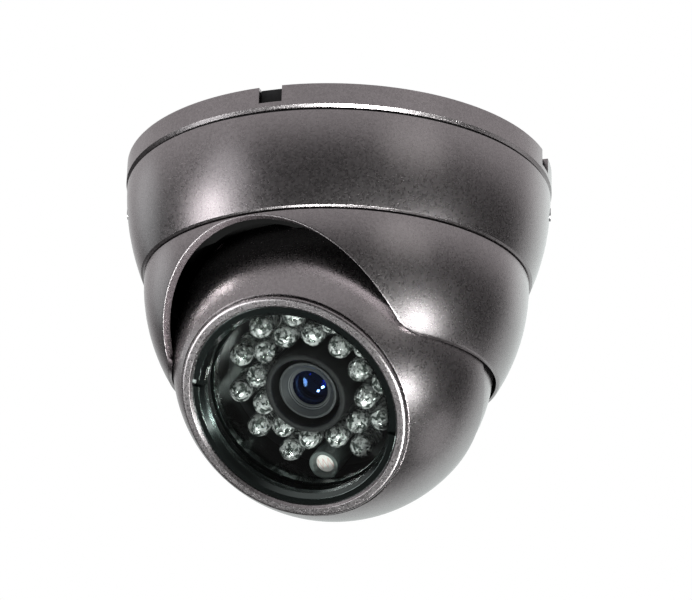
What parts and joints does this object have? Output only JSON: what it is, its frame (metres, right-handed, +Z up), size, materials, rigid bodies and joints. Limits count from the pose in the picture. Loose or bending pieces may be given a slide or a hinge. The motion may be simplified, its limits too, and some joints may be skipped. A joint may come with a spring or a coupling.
{
  "type": "dome cctv camera",
  "caption": "Ceiling-mounted metal turret dome camera: a round base and cover ring, a panning turret and a tilting eyeball with a turning infrared camera module.",
  "frame": {"origin": "centre of the base's flat face that meets the ceiling", "axes": "+Z up out of the ceiling face, so the camera hangs towards -Z; -Y is the side the lens faces at rest; +X is on the right seen from the lens side"},
  "size_m": [0.094, 0.094, 0.0787],
  "materials": {
    "body_paint": "satin metallic gunmetal paint with fine flake",
    "black_rubber": "matte moulded rubber",
    "screw_steel": "zinc-plated steel",
    "natural_nylon": "natural nylon",
    "black_plastic": "fine-grained black moulding",
    "black_metal": "black anodised, semi-gloss",
    "window_glass": "clear polished glass",
    "lens_glass": "coated lens glass",
    "led_epoxy": "water-clear epoxy",
    "black_board": "black solder mask",
    "green_board": "green solder mask",
    "sensor_ceramic": "glazed ceramic disc with a thin red track",
    "brass": "turned brass"
  },
  "bodies": {
    "base": {"base_housing": "body_paint", "notch_plugs": "black_rubber", "cable_grommet": "black_rubber", "cover_ring": "body_paint", "cover_seal": "black_rubber", "cover_screws": "screw_steel", "pan_friction_ring": "natural_nylon", "wave_washer": "screw_steel"},
    "turret": {"turret_shell": "body_paint", "swivel_frame": "black_plastic", "frame_screws": "screw_steel", "pivot_bushes": "natural_nylon"},
    "eyeball": {"eyeball_front": "body_paint", "eyeball_rear": "body_paint", "shell_gasket": "black_rubber", "shell_screws": "screw_steel", "tilt_washers": "black_rubber", "cable_bush": "black_rubber", "roll_washer": "natural_nylon"},
    "module": {"module_barrel": "body_paint", "circlip": "screw_steel", "window_glass": "window_glass", "window_seal": "black_rubber", "retaining_ring": "black_metal", "led_board": "black_board", "leds_inner": "led_epoxy", "leds_outer": "led_epoxy", "led_resistors": "black_plastic", "light_sensor": "sensor_ceramic", "sensor_shroud": "black_rubber", "lens_sleeve": "black_rubber", "lens_barrel": "black_metal", "lens_front": "lens_glass", "lens_elements": "lens_glass", "lens_lock_nut": "screw_steel", "lens_holder": "black_plastic", "ir_filter": "lens_glass", "image_sensor": "black_plastic", "main_board": "green_board", "board_spacers": "brass", "stack_screws": "screw_steel", "holder_screws": "screw_steel", "board_chips": "black_plastic", "cable_socket": "natural_nylon", "pin_header": "black_plastic"}
  },
  "joints": [
    {"name": "pan", "type": "hinge", "parent": "base", "child": "turret", "pos_m": [0, 0, 0], "axis": [0, 0, 1], "range_deg": [-174, 174]},
    {"name": "tilt", "type": "hinge", "parent": "turret", "child": "eyeball", "pos_m": [0, 0, -0.0435], "axis": [1, 0, 0], "range_deg": [-27, 46.5]},
    {"name": "roll", "type": "hinge", "parent": "eyeball", "child": "module", "pos_m": [0, 0, -0.0435], "axis": [0, -0.7278, -0.6858], "range_deg": [-174, 174]}
  ]
}
